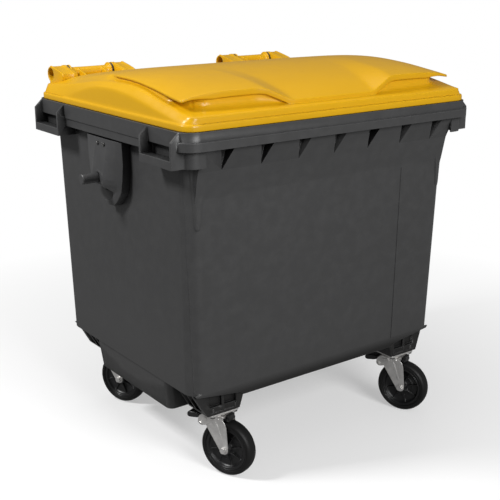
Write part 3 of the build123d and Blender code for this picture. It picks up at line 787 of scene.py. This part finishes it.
def build_lid():
    lid = new_object("lid_shell", *lid_mesh(), YELLOW_PLASTIC, "lid", "lid_plastic", smooth=38.0)
    subdivision = lid.modifiers.new("smooth", "SUBSURF")
    subdivision.levels = subdivision.render_levels = 1
    apply_modifiers(lid)
    # notches in the back edge where the lugs pass
    verts, faces = boxes_mesh([
        (start - NOTCH_GAP, end + NOTCH_GAP, 440.0, 600.0, 1100.0, 1400.0)
        for group in HINGE_GROUPS for start, end in (group[1], group[3])])
    cutter = new_object("notch_cutter", in_metres(verts), faces, YELLOW_PLASTIC,
                        "lid", "lid_plastic")
    notches = lid.modifiers.new("notches", "BOOLEAN")
    notches.operation = "DIFFERENCE"
    notches.object = cutter
    notches.solver = "EXACT"
    apply_modifiers(lid)
    bpy.data.objects.remove(cutter)
    shade(lid, 38.0)
    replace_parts(lid, "lid")


build_lid()

# ------------------------------------------------------------------ lid arms and bars
HINGE_Y, HINGE_Z = 500.0, 1299.0
RAYS = 72                           # points of a profile (angle, radius) about the hinge line


def ray_angles():
    return [2 * math.pi * k / RAYS for k in range(RAYS)]


def circle(radius):
    return [(angle, radius) for angle in ray_angles()]


def offset(profile, distance):
    return [(angle, radius + distance) for angle, radius in profile]


def at_least(profile, least):
    return [(angle, max(radius, least)) for angle, radius in profile]


def ray_profile(outline):
    """A closed outline (y, z) about the hinge line, as a profile."""
    profile = []
    for angle in ray_angles():
        dx, dy = math.cos(angle), math.sin(angle)
        reach = 0.0
        for (ax, ay), (bx, by) in zip(outline, outline[1:] + outline[:1]):
            ex, ey = bx - ax, by - ay
            cross = dx * ey - dy * ex
            if abs(cross) < 1e-9:
                continue
            distance = (ax * ey - ay * ex) / cross
            along = (ax * dy - ay * dx) / cross
            if distance > 0 and -1e-9 <= along <= 1 + 1e-9:
                reach = max(reach, distance)
        profile.append((angle, reach))
    return profile


def sweep(stations, ring=False):
    """A skin through stations (x, profile). A ring is joined end to start, else it is capped."""
    verts = [(x, HINGE_Y + radius * math.cos(angle), HINGE_Z + radius * math.sin(angle))
             for x, profile in stations for angle, radius in profile]
    faces = bands(len(stations), RAYS, wrap=ring)
    if not ring:
        faces += end_caps(len(stations), RAYS)
    return verts, faces


# outlines about the hinge line: (y, z)
ARM_OUTLINE = [(-4, 27.5), (-40, 21.5), (-92, 11), (-98, 4), (-96, -24), (-60, -44),
               (-24, -46), (-20, -58), (10, -58), (14, -40), (6, -27)]
WEB_OUTLINE = [(-4, 18), (-70, 0), (-76, -9), (-70, -22), (-30, -36), (-14, -31), (0, -19)]
ARM = at_least(ray_profile(ARM_OUTLINE), 28.0)
ARM_RAISED = offset(ARM, 0.4)
COLLAR = at_least(ARM, 30.6)
# the rim stands proud of the arm on its upper front side only
RIM = [(angle, radius + (2.6 if 0.45 * math.pi < angle < 1.02 * math.pi else 0.0))
       for angle, radius in ARM]
WEB = at_least(ray_profile(WEB_OUTLINE), 19.0)
BORE_RADIUS = 8.3
BORE = circle(BORE_RADIUS)
# one end of a bar: (distance in from the end, radius)
BAR_END = ((-2.2, BORE_RADIUS), (-2.2, 29.4), (-1.9, 30.2), (-1.0, 30.6), (2.8, 30.6),
           (4.0, 29.8), (4.8, 27.5), (6.2, 22.6), (9.0, 21.2), (16.0, 20.9))


def hinge_arm(open_end, lug_end, radius, depth):
    """An arm with a round hole of the given radius and depth in its open end."""
    way = 1 if lug_end > open_end else -1
    from_open = (
        (depth, BORE), (depth, circle(radius - 0.8)), (depth - 1, circle(radius)),
        (1.4, circle(radius)), (0.4, circle(radius + 0.5)), (0.0, circle(radius + 1.5)),
        (0.0, offset(RIM, -1.6)), (0.5, offset(RIM, -0.5)), (1.6, RIM), (6.0, RIM),
        (7.6, ARM_RAISED), (9.0, ARM))
    from_lug = (
        (15.0, ARM), (13.6, ARM_RAISED), (12.2, RIM), (9.0, RIM), (7.8, ARM_RAISED),
        (6.6, ARM_RAISED), (5.0, COLLAR), (-1.2, COLLAR), (-2.0, offset(COLLAR, -0.6)),
        (-2.2, offset(COLLAR, -1.6)), (-2.2, BORE))
    stations = [(open_end + way * distance, profile) for distance, profile in from_open]
    stations += [(lug_end - way * distance, profile) for distance, profile in from_lug]
    return sweep(stations, ring=True)


def hinge_bar(start, end):
    """The thinner bar between the lugs, with a collar at each end."""
    half = [(start + distance, circle(radius)) for distance, radius in BAR_END]
    middle = [((start + end) / 2, circle(20.6))]
    mirrored_half = [(start + end - x, profile) for x, profile in reversed(half)]
    return sweep(half + middle + mirrored_half, ring=True)


def bar_web(x):
    """A thin upright plate across a bar."""
    edge = offset(WEB, -1.2)
    return sweep([(x, edge), (x + 1.2, WEB), (x + 5.8, WEB), (x + 7, edge)])


def build_hinge_parts():
    parts = []
    for first, _, (bar_start, bar_end), _, last in HINGE_GROUPS:
        parts += [hinge_arm(*first, radius=22.5, depth=26.0),
                  hinge_arm(*last[::-1], radius=15.0, depth=12.0),
                  hinge_bar(bar_start, bar_end),
                  bar_web(bar_start + 32.0), bar_web(bar_end - 39.0)]
    verts, faces = joined(parts)
    new_object("lid_grips", in_metres(verts), faces, YELLOW_PLASTIC, "lid", "lid_plastic",
               smooth=30.0)


build_hinge_parts()

# ------------------------------------------------------------------ container
cleaned_copy("container_body", "tub", GREY_PLASTIC, "bin")
for side_name in ("left", "right"):
    cleaned_copy("trunnion_bracket_" + side_name, "bracket_" + side_name, BRACKET_PLASTIC,
                 "bin", edge_width=0.0012)

PAN_SPANS = ((-474.0, -299.0), (279.0, 470.0))      # in y
PAN_CORNER_HEIGHTS = PAN_LOW, PAN_HIGH = 1120.0, 1178.0     # centres of the corner arcs
PAN_CORNER_INSET, PAN_CORNER_RADIUS = 8, 7
# layers of a pan: (distance from the middle plane x = 0, how far the outline draws in)
PAN_LAYERS = ((596.0, 0.0), (602.6, 0.0), (603.4, 0.8), (603.4, 5.0), (600.6, 7.0))


def window_pan(side, start, end):
    """A pan that closes the back of one grip window."""
    low_y, high_y = start + PAN_CORNER_INSET, end - PAN_CORNER_INSET
    outline = []
    for y, z, turn in ((high_y, PAN_HIGH, 0), (low_y, PAN_HIGH, 90),
                       (low_y, PAN_LOW, 180), (high_y, PAN_LOW, 270)):
        for angle in (math.radians(turn + step) for step in (0, 30, 60, 90)):
            outline.append((y + PAN_CORNER_RADIUS * math.cos(angle),
                            z + PAN_CORNER_RADIUS * math.sin(angle)))
    middle_y, middle_z = (start + end) / 2, sum(PAN_CORNER_HEIGHTS) / 2
    verts = [(side * x, y - math.copysign(inset, y - middle_y),
              z - math.copysign(inset, z - middle_z))
             for x, inset in PAN_LAYERS for y, z in outline]
    size = (len(PAN_LAYERS), len(outline))
    return verts, end_caps(*size) + bands(*size)


pan_verts, pan_faces = joined([window_pan(side, *span) for side in (-1, 1) for span in PAN_SPANS])
new_object("grip_window_pans", in_metres(pan_verts), pan_faces, GREY_PLASTIC, "bin",
           "body_plastic", smooth=30.0)

# ------------------------------------------------------------------ casters
# A caster's own frame has its plate's centre at x = y = 0 and its wheel trailing along +X,
# with the axle along Y.
CASTER_TURN = math.radians(-67.4)
WHEEL_RADIUS = 100.0
AXLE_X, AXLE_Z = 50.0, WHEEL_RADIUS


def turned(caster, points):
    """From a caster's own frame to the assembly's, in metres."""
    lo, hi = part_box("caster_plate_" + caster)
    centre_x, centre_y = (lo.x + hi.x) * 500.0, (lo.y + hi.y) * 500.0
    c, s = math.cos(CASTER_TURN), math.sin(CASTER_TURN)
    return [((centre_x + x * c - y * s) * MM, (centre_y + x * s + y * c) * MM, z * MM)
            for x, y, z in points]


def caster_object(prefix, caster, mesh, material, body, slot, smooth=32.0):
    verts, faces = mesh
    return new_object(prefix + caster, turned(caster, verts), faces, material,
                      body + caster, slot, smooth)


def spun(profile, segments=96, x=AXLE_X, z=AXLE_Z, closed=True):
    """An outline (radius, y) spun about a line along Y; an open one is capped."""
    verts = []
    for k in range(segments):
        angle = 2 * math.pi * k / segments
        for radius, y in profile:
            verts.append((x + radius * math.cos(angle), y, z + radius * math.sin(angle)))
    size = len(profile)
    faces = bands(segments, size, wrap=True, strip=not closed)
    if not closed:
        faces.append(tuple(k * size for k in range(segments)))
        faces.append(tuple(k * size + size - 1 for k in range(segments)))
    return verts, faces


def slab(outline, y0, y1, chamfer):
    """An outline (x, z) made into a plate across Y with chamfered edges."""
    centre_x = sum(p[0] for p in outline) / len(outline)
    centre_z = sum(p[1] for p in outline) / len(outline)
    verts = []
    for y, inset in ((y0, chamfer), (y0 + chamfer, 0.0), (y1 - chamfer, 0.0), (y1, chamfer)):
        for x, z in outline:
            reach = math.hypot(x - centre_x, z - centre_z)
            verts.append((x - (x - centre_x) * inset / reach, y,
                          z - (z - centre_z) * inset / reach))
    return verts, end_caps(4, len(outline)) + bands(4, len(outline))


def side_plate(outline, side, near, far, chamfer):
    """A slab at one side of the wheel, between two distances from its middle plane."""
    return slab(outline, *sorted((side * near, side * far)), chamfer)


def smooth_outline(points, cuts=2):
    """Corner cutting, so that a plate has rounded corners."""
    for _ in range(cuts):
        cut = []
        for (ax, az), (bx, bz) in zip(points, points[1:] + points[:1]):
            cut += [(ax * .8 + bx * .2, az * .8 + bz * .2), (ax * .2 + bx * .8, az * .2 + bz * .8)]
        points = cut
    return points


def rivet(x, z, y, side, radius, height):
    """A domed head standing on the plane y."""
    dome = ((1, 0), (1, .35), (.86, .72), (.55, .94), (.15, 1))     # shares of radius, height
    profile = [(radius * r, y + side * height * h) for r, h in dome]
    return spun(profile, 24, x, z, closed=False)


def washer_bolt(x, z, y, side, radius):
    """A hexagon head on a washer."""
    washer = ((1.45, 0), (1.45, 1.1), (1.3, 1.4), (.4, 1.4))        # share of radius, height
    head = ((1, 1.2), (1, 4.6), (.86, 5.4), (.2, 5.4))
    return joined([spun([(radius * r, y + side * h) for r, h in profile], segments, x, z,
                        closed=False) for profile, segments in ((washer, 32), (head, 6))])


def mirrored(profile):
    return [(radius, -y) for radius, y in reversed(profile)]


# half sections of the tyre and the wheel disc: (radius, y)
TYRE_HALF = [
    (80.05, 19.0), (80.3, 23.0), (81.2, 24.3), (83.0, 25.0), (85.4, 25.0), (86.2, 23.8),
    (87.4, 23.8), (88.2, 24.9), (91.0, 24.6), (94.4, 22.6), (97.3, 18.6), (99.2, 12.5),
    (99.9, 6.0)]
DISC_HALF = [
    (10.06, 27.5), (18.6, 27.5), (19.8, 27.0), (20.6, 25.6), (21.2, 14.0), (22.6, 11.0),
    (25.5, 9.4), (33.0, 8.6), (40.0, 8.6), (41.2, 9.8), (43.6, 9.8), (44.8, 8.7), (56.0, 9.2),
    (62.0, 10.6), (66.0, 13.6), (68.4, 18.0), (69.4, 20.6), (70.6, 21.8), (72.4, 22.2),
    (73.6, 21.0), (75.6, 21.0), (76.6, 22.2), (78.6, 22.0), (79.7, 21.0), (80.0, 18.0)]
RIB_COUNT = 8                       # on each face of the disc
RIB_FOOT = 7.0                      # y where a rib starts, inside the disc
RIB_CRESTS = ((18.5, 23.5), (32.0, 17.5), (56.0, 14.2), (69.0, 16.8))   # (radius, y)

# plates of the fork and the pedal: (x, z)
LEG_SKIN = smooth_outline([(-48, 218.6), (57, 218.6), (67, 112), (66, 92), (54, 83.5),
                           (41, 86), (32, 98)])
LEG_BEAD = smooth_outline([(2, 204), (20, 204), (48, 130), (42, 127)])
CHEEK = smooth_outline([(-34, 220), (-8, 220), (4, 206), (-6, 190), (-26, 177), (-42, 174),
                        (-54, 184), (-50, 206)])
CHEEK_FACE = 35.4                   # distance of the cheek's outer face from the middle
PEDAL_PAD = smooth_outline([(-60, 206), (-58, 191), (-78, 187), (-99, 184), (-107, 187),
                            (-108, 197), (-103, 204), (-94, 206)])


def disc_rib(number, side):
    """A tapered radial rib on one face of the wheel disc."""
    angle = 2 * math.pi * (number + 0.35) / RIB_COUNT
    c, s = math.cos(angle), math.sin(angle)
    verts = []
    for radius, crest in RIB_CRESTS:
        for t, y in ((-1.9, RIB_FOOT), (-1.2, crest - .5), (-.7, crest),
                     (.7, crest), (1.2, crest - .5), (1.9, RIB_FOOT)):
            verts.append((AXLE_X + radius * c - t * s, side * y, AXLE_Z + radius * s + t * c))
    return verts, end_caps(4, 6) + bands(4, 6)


def fork_fittings(front):
    """Rivets, the legs' outer skins and beads, and on the front casters bolted cheeks."""
    parts = [rivet(x, z, side * 33.0, side, radius=3.4, height=2.4)
             for x, z in ((28.0, 211.0), (8.0 if front else -24.0, 210.0)) for side in (-1, 1)]
    parts += [side_plate(LEG_SKIN, side, 30.6, 33.3, chamfer=0.5) for side in (-1, 1)]
    parts += [side_plate(LEG_BEAD, side, 32.4, 34.0, chamfer=0.9) for side in (-1, 1)]
    if front:
        for side in (-1, 1):
            face = side * CHEEK_FACE
            parts += [side_plate(CHEEK, side, 33.1, CHEEK_FACE, chamfer=0.5),
                      washer_bolt(-42.0, 184.0, face, side, radius=4.2),
                      rivet(-8.0, 210.0, face, side, radius=3.2, height=2.2)]
    return joined(parts)


def pedal_pad():
    """A pad with five ridges across its top."""
    parts = [slab(PEDAL_PAD, -21.0, 21.0, chamfer=1.6)]
    for k in range(5):
        x = -68.0 - 7.0 * k
        ridge = [(x - 1.7, 204), (x - 1.1, 207.6), (x + 1.1, 207.6), (x + 1.7, 204)]
        parts.append(slab(smooth_outline(ridge, cuts=1), -18.0, 18.0, chamfer=0.5))
    return joined(parts)


def build_caster(caster):
    front = caster.startswith("front")
    tyre = spun(TYRE_HALF + [(WHEEL_RADIUS, 0.0)] + mirrored(TYRE_HALF))
    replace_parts(caster_object("tyre_ring_", caster, tyre, TYRE_RUBBER, "wheel_", "tyre", 34.0),
                "tyre_" + caster)
    disc = joined([spun(DISC_HALF + mirrored(DISC_HALF))]
                  + [disc_rib(k, side) for k in range(RIB_COUNT) for side in (-1, 1)])
    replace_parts(caster_object("wheel_disc_", caster, disc, RIM_PLASTIC, "wheel_", "rim_plastic",
                              34.0), "wheel_rim_" + caster)
    cleaned_copy("fork_" + caster, "fork_pressing_" + caster, ZINC, "swivel_" + caster,
                 edge_width=0.0009)
    caster_object("fork_fittings_", caster, fork_fittings(front), ZINC, "swivel_", "zinc")
    if front:
        caster_object("pedal_pad_", caster, pedal_pad(), BLACK_PLASTIC, "pedal_", "pin_plastic")


for caster_name in ("front_left", "front_right", "rear_left", "rear_right"):
    build_caster(caster_name)


# ------------------------------------------------------------------ stage
def build_floor():
    """A floor that runs out into white; the camera sees it brighter than other rays do."""
    bpy.ops.mesh.primitive_plane_add(size=60)
    floor = bpy.context.object
    floor.name = "studio_floor"
    nodes = MaterialNodes("studio_floor")
    seen = nodes.node("LightPath").outputs["Is Camera Ray"]
    nodes.set("Base Color", nodes.mix(seen, (0.34, 0.34, 0.34), (0.95, 0.95, 0.95)))
    speckle = nodes.noise(scale=30.0, detail=3.0, roughness=0.5)
    nodes.set("Roughness", nodes.ramp(speckle, over=(0.3, 0.7), to=(0.7, 0.8)))
    distance = nodes.vector_math("LENGTH", nodes.place)["Value"]
    away = nodes.ramp(distance, over=(0.7, 2.4), to=(0.42, 1.0))
    strength = nodes.ramp(seen, over=(0.0, 1.0), to=(0.22, 1.0))
    glow = nodes.node("Emission", {"Color": (1, 1, 1), "Strength": strength})
    mixed = nodes.node("MixShader", {0: away, 1: nodes.bsdf.outputs["BSDF"], 2: glow.outputs[0]})
    nodes.wire(nodes.surface, mixed.outputs[0])
    floor.data.materials.append(nodes.material)


def build_world():
    """White to the camera, dimmer as a light."""
    world = bpy.data.worlds.new("studio")
    SCENE.world = world
    world.use_nodes = True
    nodes = Nodes(world.node_tree)
    background = world.node_tree.nodes["Background"]
    nodes.wire(background.inputs["Color"], (1, 1, 1))
    seen = nodes.node("LightPath").outputs["Is Camera Ray"]
    nodes.wire(background.inputs["Strength"], nodes.ramp(seen, over=(0.0, 1.0), to=(0.17, 1.0)))


def area_light(name, place, target, size, power):
    light = bpy.data.lights.new(name, "AREA")
    light.energy = power
    light.size = size
    obj = bpy.data.objects.new(name, light)
    SCENE.collection.objects.link(obj)
    obj.location = place
    obj.rotation_mode = "QUATERNION"
    obj.rotation_quaternion = (Vector(target) - Vector(place)).to_track_quat("-Z", "Y")


def build_camera():
    lens = bpy.data.cameras.new("camera")
    camera = bpy.data.objects.new("camera", lens)
    SCENE.collection.objects.link(camera)
    lens.lens = 68.63
    lens.sensor_width = 36.0
    lens.clip_start = 0.05
    lens.clip_end = 100
    camera.location = (-2.111, -2.8343, 1.6946)
    camera.rotation_euler = (math.radians(73.285), 0, math.radians(-36.712))
    SCENE.camera = camera


build_floor()
build_world()
area_light("key", place=(-3.2, 0.9, 3.8), target=(-0.3, 0, 0.9), size=0.8, power=165)
area_light("front_fill", place=(-0.3, -5.0, 3.0), target=(0.1, 0, 0.7), size=2.2, power=235)
area_light("top", place=(0.2, 0.4, 4.6), target=(0, 0, 1.2), size=3.0, power=25)
build_camera()
SCENE.view_settings.view_transform = "Standard"
SCENE.view_settings.look = "None"
